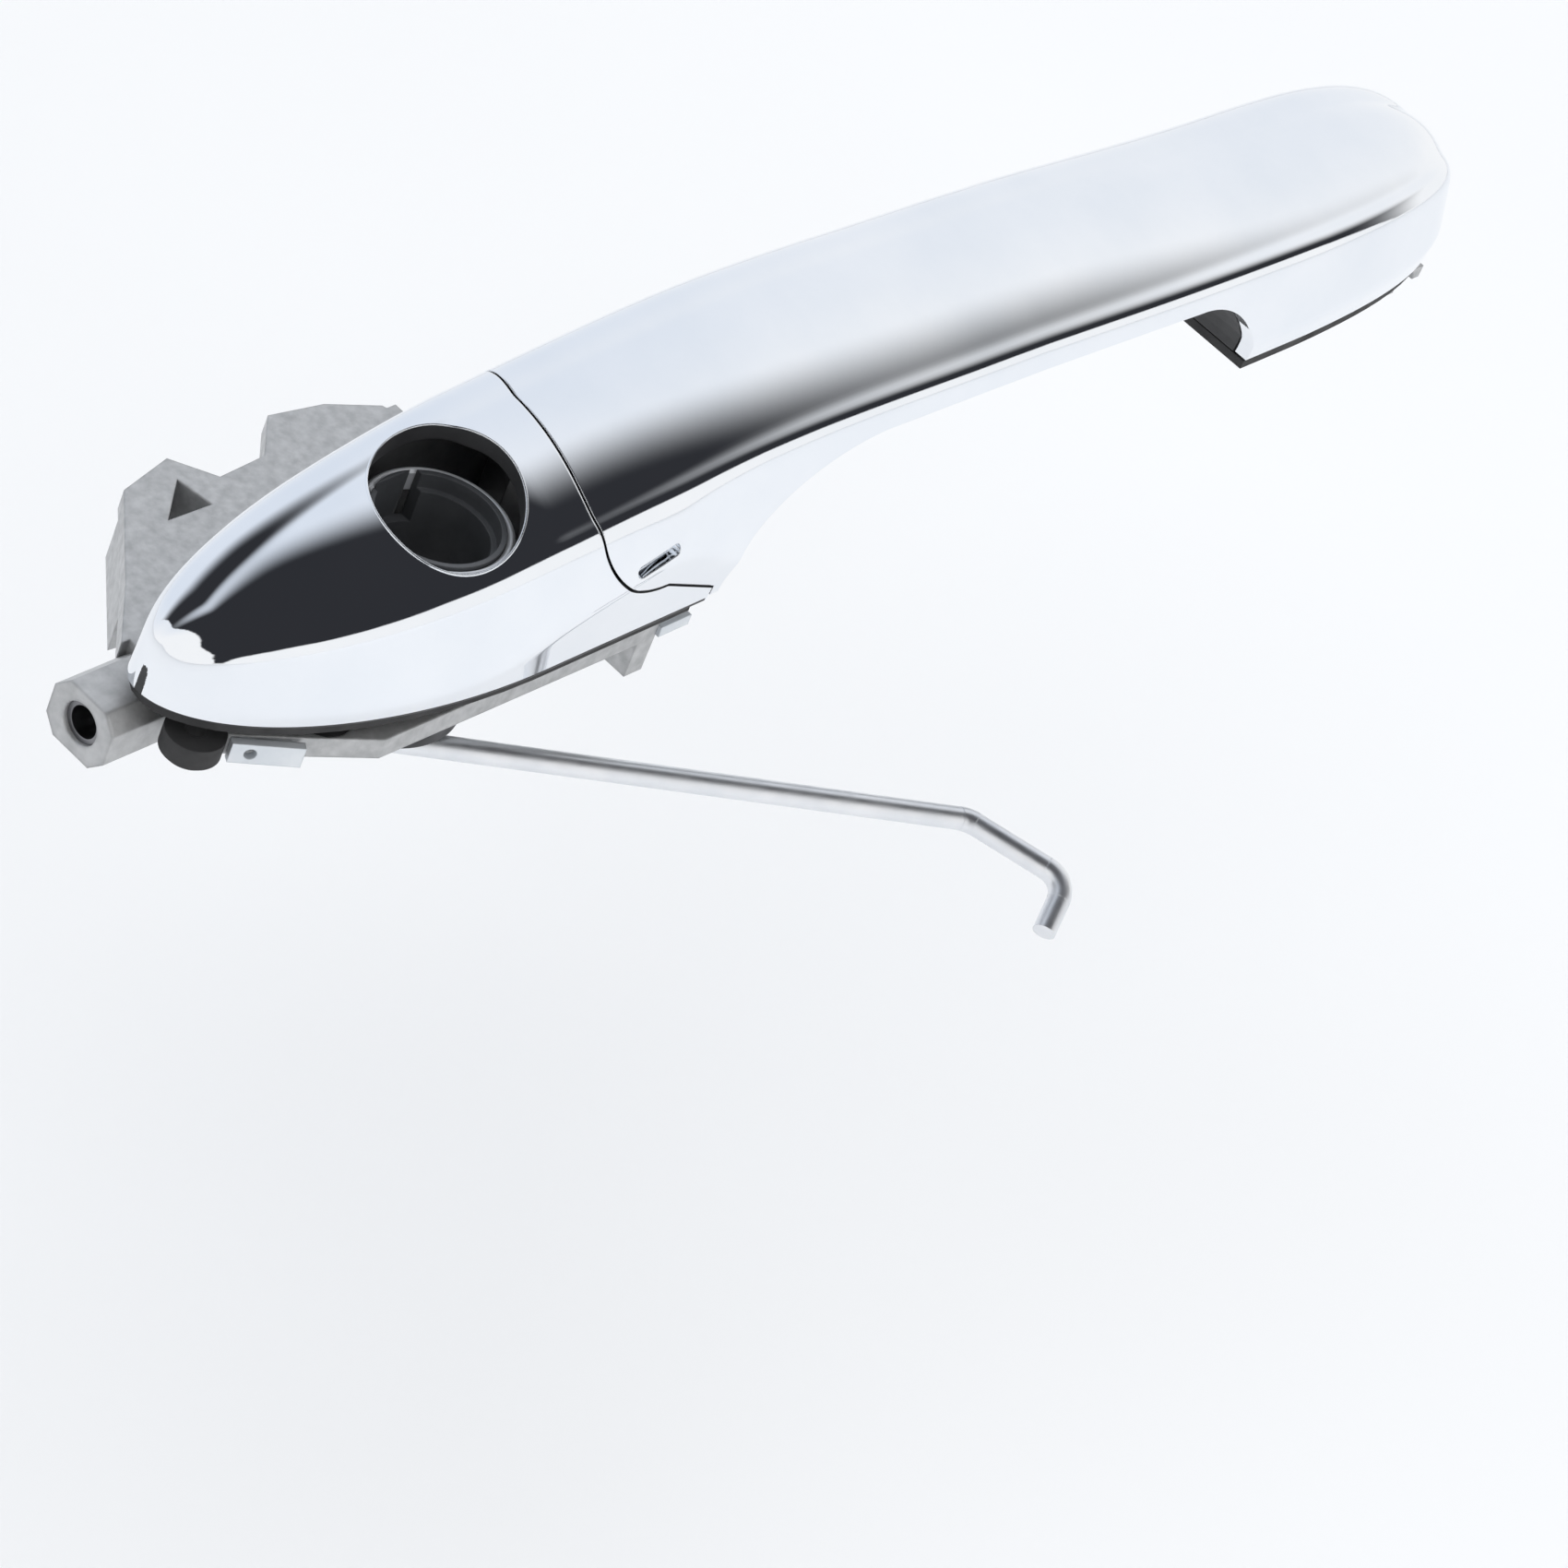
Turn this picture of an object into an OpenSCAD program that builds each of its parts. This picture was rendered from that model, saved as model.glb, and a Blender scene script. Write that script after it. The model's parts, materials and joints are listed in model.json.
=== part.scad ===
// Outside door handle of a car: pull grip on a far-end pivot, key-end cap, die-cast base, lever and rod.
// +X runs from the key end to the pivot end, +Z is the outward normal of the door skin, +Y is up on the car.
// The origin is where the lock bore axis meets the door skin plane.

/* [Envelope] */
// Reach of the key-end cap left of the lock axis
tip_reach = 38.5; // [36:0.5:40]
// Distance from the lock axis to the far end of the foot
far_end = 200; // [198:0.5:206]
// Half width at the door skin, lower (near) side
near_half_w = 15.2; // [14:0.1:16]
// Half width at the door skin, upper (far) side
far_half_w = 15.0; // [14:0.1:16]
// Height of the lower crease at the cap nose
crease_tip = 12.8; // [11:0.1:14]
// Height of the lower crease beside the lock
crease_lock = 16.6; // [15:0.1:18]
// Height of the lower crease at the crest of the grip
crease_crest = 20.0; // [18.5:0.1:21]
// Height of the lower crease at the middle of the grip
crease_mid = 18.2; // [17:0.1:19.5]
// Height of the lower crease above the foot
crease_foot = 15.0; // [14:0.1:16.5]
// Height of the lower crease at the far end
crease_end = 14.6; // [12:0.1:15]
// Extra height of the upper shoulder over the lower crease, beside the lock
lean_lock = 6.8; // [5:0.1:8]
// Extra height of the upper shoulder over the lower crease, at the foot
lean_foot = 3.6; // [2:0.1:5]
// How far the cap's nose sits above the centre line
nose_shift = 5.0; // [3:0.5:6]
// Extra half width of the foot on the lower (near) side
foot_flare = 1.0; // [0:0.1:1.5]
// Crown of the outer face
crown = 1.5; // [0.5:0.1:3]
// Wall thickness of the plated shells
wall = 2.2; // [1.8:0.1:2.6]

/* [Finger gap] */
// Where the arch under the grip starts
arch_start = 41; // [40.5:0.5:44]
// Where the arch under the grip ends at the foot
arch_end = 147; // [140:0.5:150]
// Height of the arch at its crest
arch_top = 15.6; // [13.5:0.1:16]
// Height of the arch where it turns down to the foot
arch_low = 12.2; // [10:0.1:13]

/* [Seam] */
// Radius of the curved seam between cap and grip
seam_r = 14; // [13.5:0.1:14.5]
// Gap left at the seam
seam_gap = 0.4; // [0.3:0.05:0.8]
// Height of the tongue where it starts to run under the grip
tongue_h = 6.7; // [6.4:0.1:7]
// Slant of the seam seen from outside, in degrees
seam_slant = 5; // [3:1:6]

/* [Lock] */
// Radius of the hole in the cap
lock_hole_r = 9.7; // [9.2:0.1:10.2]
// Inner radius of the lock sleeve
sleeve_r = 7.1; // [6.6:0.1:7.4]
// Height of the sleeve mouth
sleeve_top = 16.2; // [15:0.1:16.6]
// Width of the keyway notch
keyway_w = 7.4; // [6:0.2:8]

/* [Grip motion] */
// Pivot axis position along the handle
pivot_x = 193; // [190:0.5:194]
// Pivot axis depth behind the skin plane
pivot_z = -5.5; // [-7:0.1:-5]
// Radius of the pivot pin
pivot_pin_r = 2.0; // [1.8:0.1:2.4]

/* [Lever and rod] */
// Lever pivot position along the handle
lever_x = 2; // [1.5:0.1:2.4]
// Lever pivot depth
lever_z = -13.6; // [-14:0.1:-13.5]
// Length of the arm that the claw lifts
claw_arm = 22; // [21.8:0.1:22.2]
// Length of the arm that drives the rod
rod_arm = 14; // [13.8:0.1:14.2]
// Rod radius
rod_r = 1.5; // [1.2:0.1:1.8]
// Long straight of the rod
rod_len = 90; // [80:1:96]
// Middle straight of the rod
rod_mid = 14.7; // [12:0.1:17]
// Short end straight of the rod
rod_tail = 8; // [7.5:0.5:10]
// Radius of the rod's bends, on its centre line
rod_bend_r = 3.5; // [3:0.5:4]

/* [Fixing] */
// Radius of the fixing thread in the boss
boss_thread_r = 2.1; // [1.6:0.1:2.5]
// Reach of the fixing boss left of the lock axis
boss_reach = 41.2; // [40:0.2:44]

/* [Hidden] */
$fn = 64;
eps = 0.02;
foot_gap = 0.7;
seam_cx = 29.3;
seam_cz = tongue_h + seam_r;
tongue_end = arch_start - 1.9;
tongue_tip_h = 2.3;
cap_centre = 10;
foot_centre = 150;
cap_power = 1.9;
cap_far_power = 2.3;
foot_power = 3.3;
ridge_out = 0.5;
lever_y0 = 11.8;
lever_y1 = 14.6;
claw_y0 = 7.2;
claw_y1 = 11.2;
arm_angle = 19.8;
rod_angle = 176;
bar_x = lever_x + claw_arm * cos(arm_angle);
bar_z = lever_z - claw_arm * sin(arm_angle);
bar_r = 1.6;
hook_gap = 0.5;
eye_x = lever_x + rod_arm * cos(rod_angle);
eye_z = lever_z + rod_arm * sin(rod_angle);
gasket_bot = -1.4;
gasket_grow = -0.5;
gasket_inner = -3;
seat_end = 196.6;
insert_outer_r = boss_thread_r + 0.7;
skin_space = 2.1;
base_top = gasket_bot - skin_space;
base_bot = base_top - 10.5;
plate_bot = base_top - 3;
housing_bot = -11;
screw_x = 32;
screw_y = -2.5;
lug_screw_x = 173;
boss_y = 9.3;
boss_z = base_top - 4.25;
rod_bend_y = -0.5;
rod_turns = [[-32, 4.76], [-69, 4.3], [206, 22]];
seam_pin_y = -11;
pocket_x = 25.4;
pocket_z = 11.9;
pocket_bottom_y = -13.4;
pocket_tilt = 14;
rod_lap = 0.25;

crease_line = [
    [-tip_reach, crease_tip], [-6, crease_lock - 1.2], [10, crease_lock + 0.8], [50, crease_crest],
    [90, crease_mid], [130, 0.6 * crease_mid + 0.4 * crease_foot - 0.9], [165, crease_foot],
    [far_end, crease_end]];
// height of the ridge along the lower side wall
ridge_line = [[-12, 2.2], [0, 3.4], [10, 6.8], [20, 9.2], [30, 11.2], [36, 9], [46, 4.2], [far_end, 4.2]];
lean_line = [
    [-tip_reach, lean_lock - 1.8], [0, lean_lock], [110, lean_lock - 0.2], [160, lean_foot], [far_end, lean_foot]];

function slope(p, i) =
    let (a = max(i - 1, 0), b = min(i + 1, len(p) - 1)) (p[b][1] - p[a][1]) / (p[b][0] - p[a][0]);
function cell(p, x, i = 0) = (i >= len(p) - 2 || x <= p[i + 1][0]) ? i : cell(p, x, i + 1);
function curve(p, x) =
    let (
        i = cell(p, x), d = p[i + 1][0] - p[i][0], t = min(max((x - p[i][0]) / d, 0), 1),
        t2 = t * t, t3 = t2 * t)
    (2 * t3 - 3 * t2 + 1) * p[i][1] + (t3 - 2 * t2 + t) * d * slope(p, i)
    + (3 * t2 - 2 * t3) * p[i + 1][1] + (t3 - t2) * d * slope(p, i + 1);
function round_end(u, n) = pow(max(1 - pow(min(abs(u), 1), n), 0.0004), 1 / n);
function plan(x, t, far = false) =
    x < cap_centre ? round_end((cap_centre - x) / (tip_reach + cap_centre - t), far ? cap_far_power : cap_power)
    : x > foot_centre ? round_end((x - foot_centre) / (far_end - foot_centre - t), foot_power)
    : 1;
function nose(x) = x < cap_centre ? nose_shift * (1 - plan(x, 0)) : 0;
function near_w(x) = near_half_w + foot_flare * min(max((x - 100) / 60, 0), 1);
function lerp(a, b, t) = a + (b - a) * t;
function bez(a, c, b, t) = a * (1 - t) * (1 - t) + c * 2 * t * (1 - t) + b * t * t;
function toward(a, b, d) = a + (b - a) * min(d / norm(b - a), 0.45);

// cross-section of the envelope at station x, inset by t, with its floor at z = floor_z
function section(x, t, floor_z) =
    let (
        e = plan(x, t), tall = pow(plan(x, 0), 0.35), s = nose(x),
        zc = curve(crease_line, x) * tall - t,
        wn = max(near_w(x) * e - t, 0.3), wf = max(far_half_w * plan(x, t, true) - t, 0.3),
        nc = [s - wn * 0.82, zc], fs = [s + wf * 0.88, zc + curve(lean_line, x) * tall],
        nb = [s - wn, floor_z], rg = [s - wn - ridge_out * e, curve(ridge_line, x)], fb = [s + wf, floor_z],
        n1 = toward(nc, rg, 1.8), n2 = toward(nc, fs, 2.2),
        f1 = toward(fs, nc, 6), f2 = toward(fs, fb, 5),
        top = (n2 + f1) / 2 + [0, 2 * crown * e])
    concat(
        [nb, rg], [for (k = [0:3]) bez(n1, nc, n2, k / 3)],
        [for (k = [1:4]) bez(n2, top, f1, k / 5)],
        [for (k = [0:4]) bez(f1, fs, f2, k / 4)], [fb]);

function stations(x0, x1, n, fine0, fine1) =
    [for (k = [0:n])
        let (u = k / n, a = fine0 ? 1 - cos(90 * u) : u, b = fine1 ? sin(90 * u) : u)
        lerp(x0, x1, fine0 && fine1 ? (1 - cos(180 * u)) / 2 : fine0 ? a : b)];

module loft(xs, t, floor_z) {
    rings = [for (x = xs) [for (p = section(x, t, floor_z)) [x, p[0], p[1]]]];
    m = len(rings[0]);
    n = len(rings);
    polyhedron(
        points = [for (r = rings) each r],
        faces = concat(
            [[for (j = [m - 1:-1:0]) j]],
            [[for (j = [0:m - 1]) (n - 1) * m + j]],
            [for (i = [0:n - 2]) for (j = [0:m - 1]) let (k = (j + 1) % m)
                each [[i * m + j, (i + 1) * m + k, (i + 1) * m + j], [i * m + j, i * m + k, (i + 1) * m + k]]]));
}

// everything on the grip side of the seam, pushed away from the cap by g
module grip_side(g) {
    fall = (tongue_h - tongue_tip_h) / (tongue_end - seam_cx);
    pts = concat(
        [[seam_cx - seam_r + g, 60]],
        [for (k = [0:12])
            let (a = 180 + 90 * k / 12) [seam_cx + (seam_r - g) * cos(a), seam_cz + (seam_r - g) * sin(a)]],
        [[seam_cx + 12, tongue_h + g - 12 * fall], [240, tongue_h + g - 12 * fall], [240, 60]]);
    translate([seam_cx, seam_pin_y, 0])
        rotate([0, 0, -seam_slant])
            translate([-seam_cx, -seam_pin_y, 0])
                side_prism(pts, 120);
    box(tongue_end + g, 240, -40, 40, -30, 60);
}

// prism along Y from a profile drawn in X and Z
module side_prism(pts, w) {
    translate([0, w / 2, 0])
        rotate([90, 0, 0])
            linear_extrude(w)
                polygon(pts);
}

function arch_line(lift) = concat(
    [for (k = [0:10])
        let (a = 180 - 9 * k)
        [arch_start + 27 + (27 + lift) * cos(a), 1 + (arch_top - 1 + lift) * sin(a)]],
    [for (k = [1:10])
        let (a = 90 - 9 * k)
        [arch_end - 14 + (14 + lift) * cos(a), (arch_low + lift) * sin(a)]]);

module arch_cut(lift) {
    side_prism(concat([[arch_start - lift, -30]], arch_line(lift), [[arch_end + lift, -30]]), 60);
}

module along_y(x, z, y0, y1, r) {
    translate([x, y0, z])
        rotate([-90, 0, 0])
            cylinder(h = y1 - y0, r = r);
}

module box(x0, x1, y0, y1, z0, z1) {
    translate([x0, y0, z0])
        cube([x1 - x0, y1 - y0, z1 - z0]);
}

module up_cyl(x, y, z0, z1, r) {
    translate([x, y, z0])
        cylinder(h = z1 - z0, r = r);
}

module key_end_cap() {
    color("silver")
    difference() {
        loft(stations(-tip_reach + 0.1, 42, 15, true, false), 0, 0);
        loft(stations(-tip_reach + wall + 0.1, 44, 12, true, false), wall, -1);
        grip_side(0);
        up_cyl(0, 0, 4, 40, lock_hole_r);
    }
    color("silver")
    difference() {
        intersection() {
            loft(stations(-24, -12, 3, false, false), wall - 0.6, -1);
            box(-22, -14, -3.2, 3.2, 0.02, 30);
        }
        up_cyl(-18, 0, -1, 8, 1.25);
    }
}

module gasket_ring(x0, x1, grow, z0, z1) {
    difference() {
        translate([0, 0, z0])
            linear_extrude(z1 - z0)
                foot_print(x0, x1, grow);
        translate([0, 0, z0 - 1])
            linear_extrude(z1 - z0 + 2)
                foot_print(x0, x1, gasket_inner);
    }
}

// outline of the envelope on the door skin, grown by g, between two stations
module foot_print(x0, x1, g) {
    n = 24;
    xs = [for (k = [0:n]) lerp(x0 - g, x1 + g, (1 - cos(180 * k / n)) / 2)];
    polygon(concat(
        [for (x = xs) [x, nose(x) - (near_w(x) + g) * plan(x, -g)]],
        [for (k = [n:-1:0]) [xs[k], nose(xs[k]) + (far_half_w + g) * plan(xs[k], -g, true)]]));
}

module cap_gasket() {
    color("dimgray")
    difference() {
        gasket_ring(-tip_reach, tongue_end - 1.5, gasket_grow, gasket_bot, -0.04);
        box(-24, -12, -8, 8, -3, 1);
    }
}

module lock_trim_ring() {
    color("gainsboro")
    translate([0, 0, sleeve_top - 3.2])
        rotate_extrude()
            polygon([
                [8.55, 0], [lock_hole_r - 0.1, 0], [lock_hole_r - 0.1, 2.6], [lock_hole_r - 0.5, 3],
                [8.95, 3], [8.55, 2.6]]);
}

module lock_sleeve() {
    color("dimgray")
    difference() {
        union() {
            up_cyl(0, 0, housing_bot + 0.4, sleeve_top, 8.5);
            up_cyl(0, 0, 2, 6, 9.2);
        }
        up_cyl(0, 0, -13, sleeve_top + 1, sleeve_r);
        up_cyl(0, 0, sleeve_top - 2.2, sleeve_top + 1, sleeve_r + 0.7);
        box(-keyway_w / 2, keyway_w / 2, 0, sleeve_r + 0.9, sleeve_top - 7, sleeve_top + 1);
    }
}

module lock_housing() {
    color("slategray")
    difference() {
        union() {
            up_cyl(0, 0, housing_bot, base_top, 10.9);
            up_cyl(0, 0, base_top - eps, 1.6, 10.2);
        }
        up_cyl(0, 0, -20, 5, 8.58);
        for (s = [-1, 1])
            up_cyl(s * 4.6, -8.6, housing_bot - 1, housing_bot + 1.5, 0.6);
    }
}

insert_len = 10.4;
grommet_spots = [[-33, -0.6], [-17.2, -5.6]];

// plan of the die-cast base
function base_plan() = [
    [-32.6, -1.7], [-21.2, -8.2], [-13, -12.6], [33, -13], [35, -10], [35, 18], [29.2, 32.7],
    [22.2, 36.2], [13.8, 37.7], [8.2, 32.2], [0.2, 31.7], [-3.8, 37.2], [-12.8, 35.1], [-23.8, 22.4],
    [-31.4, 14.6]];

module die_cast_base() {
    color("darkgray")
    difference() {
        union() {
            translate([0, 0, plate_bot])
                linear_extrude(3)
                    polygon(base_plan());
            translate([0, 0, base_bot])
                linear_extrude(base_top - base_bot)
                    polygon([[-23.8, 21.7], [-12.8, 34.5], [-3.8, 36.6], [-1.3, 32.7], [-1.3, 28.7], [-12.8, 20.7]]);
            box(8.2, 31, 28.7, 32.1, base_bot, base_top);
            box(31.8, 35, -12.9, 18, base_bot + 2, base_top);
            box(-30, -14, 0, 11.4, -10.6, base_top - 1);
            box(lever_x - 6, lever_x + 6, 17.6, 20.4, lever_z - 5, base_top);
            box(-2.6, 31.9, 20.3, 22.3, base_bot, base_top);
        }
        up_cyl(0, 0, -30, 5, 10.98);
        box(6.5, 31.2, 11.5, 15.2, -30, 5);
        box(17, 31.2, 6.4, 12, -30, 5);
        up_cyl(-18, 0, -20, 5, 1.7);
        up_cyl(-18, 0, -20, -8, 3.2);
        along_y(lever_x, lever_z, 17, 21, 1.52);
        translate([0, 0, -30])
            linear_extrude(40)
                polygon([[-11.4, 28.5], [-4.2, 28.3], [-5.2, 33.7]]);
        translate([0, 0, -30])
            linear_extrude(25)
                polygon([[-19.4, 22.7], [-12.8, 30.3], [-12.8, 22.7]]);
        box(-34, -29.98, boss_y - 5.3, boss_y + 5.3, -13, 5);
        translate([-31, boss_y, boss_z])
            rotate([0, 90, 0])
                cylinder(h = 6, r = 3);
        for (p = grommet_spots)
            up_cyl(p[0], p[1], -30, 5, 3.86);
    }
}

module fixing_boss() {
    color("lightgray")
    difference() {
        translate([-boss_reach, boss_y, boss_z])
            rotate([90, 0, 90])
                linear_extrude(boss_reach - 30.02)
                    polygon([[-5, -2.4], [-3, -4.6], [3.2, -4.6], [5.2, -2.4], [5.2, 2], [3.2, 4.2], [-3, 4.2], [-5, 2]]);
        translate([-boss_reach - 1, boss_y, boss_z])
            rotate([0, 90, 0])
                cylinder(h = 30, r = insert_outer_r + 0.02);
    }
}

module boss_thread_insert() {
    color("darkgray")
    translate([-boss_reach + 0.6, boss_y, boss_z])
        rotate([0, 90, 0])
            difference() {
                cylinder(h = insert_len, r = insert_outer_r);
                translate([0, 0, -1]) cylinder(h = insert_len + 2, r = boss_thread_r);
            }
}

module skin_grommets() {
    for (p = grommet_spots)
        color("black")
        translate([p[0], p[1], base_top])
            rotate_extrude()
                polygon([[1.3, -3.6], [3.2, -3.6], [3.8, -3], [3.8, -0.04], [1.3, -0.04]]);
}

module side_plate() {
    color("gainsboro")
    translate([-30.6, -4.5, plate_bot])
        rotate([0, 0, -32.5])
            difference() {
                cube([9, 1.1, 3]);
                translate([2.5, -1, 1.5])
                    rotate([-90, 0, 0])
                        cylinder(h = 4, r = 0.8);
            }
}

module cap_screw() {
    color("silver") {
        up_cyl(-18, 0, -11.4, -8.1, 3);
        up_cyl(-18, 0, -8.2, 6.5, 1.24);
    }
}

module locating_tab() {
    color("gainsboro")
    difference() {
        box(35.04, 40.5, -13.4, -6, -6.2, -4.6);
        up_cyl(38, -9.6, -8, 0, 1.1);
    }
}

module lever_pin() {
    color("silver")
    along_y(lever_x, lever_z, lever_y0 - 0.6, 20.8, 1.5);
}

module return_spring() {
    color("silver")
    translate([lever_x, 16.1, lever_z])
        rotate([90, 0, 0])
            for (k = [0:1])
                translate([0, 0, 1.02 * (k - 0.5)])
                    rotate_extrude()
                        translate([3.4, 0])
                            circle(r = 0.5, $fn = 20);
}

// round-ended pocket in the lower side wall, just behind the seam
module side_pocket() {
    translate([pocket_x, pocket_bottom_y - 4, pocket_z])
        rotate([-90, -pocket_tilt, 0])
            linear_extrude(4)
                union() {
                    translate([-2.8, 0]) circle(r = 0.8, $fn = 24);
                    translate([2.8, 0]) circle(r = 0.8, $fn = 24);
                    square([5.6, 1.6], center = true);
                }
}

module grip_shell() {
    color("silver") {
        difference() {
            intersection() {
                loft(stations(10, far_end - 0.1, 30, false, true), 0, foot_gap);
                grip_side(seam_gap);
            }
            intersection() {
                loft(stations(8, far_end - wall - 0.1, 24, false, true), wall, -1);
                grip_side(seam_gap + wall);
            }
            arch_cut(0);
            box(bar_x, bar_x + 8, claw_y0 - 0.1, claw_y1 + 0.1, 0, 13);
            up_cyl(screw_x, screw_y, 0, 9.6, 1.3);
            side_pocket();
        }
        difference() {
            up_cyl(lug_screw_x, 0, 9.04, 16, 3.2);
            up_cyl(lug_screw_x, 0, 8, 14, 1.25);
        }
    }
}

module grip_liner() {
    color("dimgray")
    difference() {
        intersection() {
            loft(stations(20, 160, 14, false, false), wall + 0.2, 0.5);
            grip_side(seam_gap + wall + 0.2);
            arch_cut(2.2);
        }
        arch_cut(0.02);
        box(0, 34, -30, 30, -5, 8);
        box(152, 170, -30, 30, -5, 30);
    }
}

module grip_claw() {
    color("dimgray")
    difference() {
        union() {
            box(bar_x - 2.4, bar_x + 7.9, claw_y0, claw_y1, bar_z - 5, 13);
            box(29.4, 37, -6, claw_y1, 9.7, 13);
        }
        box(bar_x - 6, bar_x + 4.4, -20, 20, bar_z - bar_r - hook_gap, -3);
        box(bar_x - 6, bar_x + 0.1, -20, 20, -3.2, 20);
        up_cyl(screw_x, screw_y, 0, 12, 1.25);
    }
}

module claw_screws() {
    color("silver") {
        up_cyl(screw_x, screw_y, 3.4, 4.9, 2.6);
        up_cyl(screw_x, screw_y, 4.8, 11.8, 1.24);
    }
}

module pivot_lug() {
    color("dimgray")
    difference() {
        union() {
            along_y(pivot_x, pivot_z, -5, 5, 4);
            box(pivot_x - 4, pivot_x + 1.2, -5, 5, pivot_z, 9);
            box(168, pivot_x - 1, -5, 5, 5, 9);
        }
        along_y(pivot_x, pivot_z, -6, 6, pivot_pin_r + 0.05);
        up_cyl(lug_screw_x, 0, 0, 20, 1.25);
    }
}

module lug_screw() {
    color("silver") {
        up_cyl(lug_screw_x, 0, 3.2, 4.95, 2.6);
        up_cyl(lug_screw_x, 0, 4.9, 13.6, 1.24);
    }
}

module foot_pad() {
    color("black")
    box(177, 187, -4.6, 4.6, 0.4, 4.98);
}

module pivot_gasket() {
    color("black")
    difference() {
        translate([0, 0, gasket_bot])
            linear_extrude(-0.04 - gasket_bot)
                intersection() {
                    foot_print(arch_end, far_end, gasket_grow);
                    translate([arch_end, -30]) square([80, 60]);
                }
        box(181, 199, -6.4, 6.4, -3, 1);
    }
}

module pivot_seat() {
    color("darkgray")
    difference() {
        union() {
            box(158, seat_end, -11, 11, base_top - 2, base_top);
            for (s = [-1, 1])
                box(186, seat_end, s * 7 - 1.6, s * 7 + 1.6, -10.5, base_top - 1);
        }
        box(181, 199.5, -5.35, 5.35, -20, 5);
        along_y(pivot_x, pivot_z, -12, 12, pivot_pin_r + 0.02);
        up_cyl(165, 0, -10, 5, 2.6);
    }
}

module pivot_pin() {
    color("silver")
    along_y(pivot_x, pivot_z, -8.9, 8.9, pivot_pin_r);
}

module claw_bumper() {
    color("black")
    box(27, 31.7, -9.4, -5.4, base_top + 0.04, 5.6);
}

module arm(angle, length, r0, r1) {
    translate([lever_x, lever_y1, lever_z])
        rotate([90, -angle, 0])
            linear_extrude(lever_y1 - lever_y0) {
                polygon([[2, -r0], [length, -r1], [length, r1], [2, r0]]);
                translate([length, 0]) circle(r = r1);
            }
}

module lever() {
    color("dimgray")
    difference() {
        union() {
            along_y(lever_x, lever_z, lever_y0, lever_y1 + 0.2, 4);
            arm(-arm_angle, claw_arm, 3.6, 2.6);
            arm(rod_angle, rod_arm, 3.6, 3);
        }
        along_y(lever_x, lever_z, 0, 20, 1.55);
        along_y(eye_x, eye_z, 0, 20, rod_r + 0.06);
        along_y(bar_x, bar_z, 0, 20, bar_r + 0.01);
    }
}

module lever_crossbar() {
    color("silver")
    along_y(bar_x, bar_z, claw_y0 - 0.6, lever_y1, bar_r);
}

function heading(a) = [cos(a[1]) * cos(a[0]), cos(a[1]) * sin(a[0]), -sin(a[1])];

function unit(v) = v / norm(v);
function bend_angle(d1, d2) = acos(d1 * d2);
function trim(d1, d2) = rod_bend_r * tan(bend_angle(d1, d2) / 2);

// one straight of the rod from p along d
module rod_run(p, d, len) {
    x = unit(abs(d[2]) < 0.9 ? cross(d, [0, 0, 1]) : cross(d, [1, 0, 0]));
    place(p, x, cross(d, x), d)
        cylinder(h = len, r = rod_r);
}

// the bend at corner p, where the rod turns from d1 to d2
module rod_bend(p, d1, d2) {
    n = unit(d2 - (d1 * d2) * d1);
    place(p - trim(d1, d2) * d1 + rod_bend_r * n, -n, d1, cross(-n, d1))
        rotate_extrude(angle = bend_angle(d1, d2))
            translate([rod_bend_r, 0])
                circle(r = rod_r + 2 * eps);
}

// moves the child to p with its own axes along x, y and z
module place(p, x, y, z) {
    multmatrix([[x[0], y[0], z[0], p[0]], [x[1], y[1], z[1], p[1]], [x[2], y[2], z[2], p[2]], [0, 0, 0, 1]])
        children();
}

module rod() {
    d = concat([[0, -1, 0]], [for (a = rod_turns) heading(a)]);
    start = [eye_x, lever_y1 + 0.6, eye_z];
    lens = [start[1] - rod_bend_y, rod_len, rod_mid, rod_tail];
    p1 = start + lens[0] * d[0];
    p2 = p1 + lens[1] * d[1];
    p3 = p2 + lens[2] * d[2];
    t1 = trim(d[0], d[1]);
    t2 = trim(d[1], d[2]);
    t3 = trim(d[2], d[3]);
    color("silver") {
        rod_run(start, d[0], lens[0] - t1 + rod_lap);
        rod_bend(p1, d[0], d[1]);
        rod_run(p1 + (t1 - rod_lap) * d[1], d[1], lens[1] - t1 - t2 + 2 * rod_lap);
        rod_bend(p2, d[1], d[2]);
        rod_run(p2 + (t2 - rod_lap) * d[2], d[2], lens[2] - t2 - t3 + 2 * rod_lap);
        rod_bend(p3, d[2], d[3]);
        rod_run(p3 + (t3 - rod_lap) * d[3], d[3], lens[3] - t3 + rod_lap);
    }
}

module rod_clip() {
    color("ivory")
    difference() {
        along_y(eye_x, eye_z, lever_y0 - 1.6, lever_y0 - 0.1, 2.7);
        along_y(eye_x, eye_z, 0, 20, rod_r + 0.02);
    }
}

key_end_cap();
cap_gasket();
lock_trim_ring();
lock_sleeve();
lock_housing();
die_cast_base();
fixing_boss();
boss_thread_insert();
skin_grommets();
side_plate();
cap_screw();
locating_tab();
lever_pin();
return_spring();
grip_shell();
grip_liner();
grip_claw();
claw_screws();
pivot_lug();
lug_screw();
foot_pad();
pivot_gasket();
pivot_seat();
pivot_pin();
claw_bumper();
lever();
lever_crossbar();
rod();
rod_clip();
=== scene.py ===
import bmesh
import bpy
import json
import math
import numpy as np
from mathutils import Matrix, Vector
from mathutils.bvhtree import BVHTree
from mathutils.interpolate import poly_3d_calc

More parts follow.
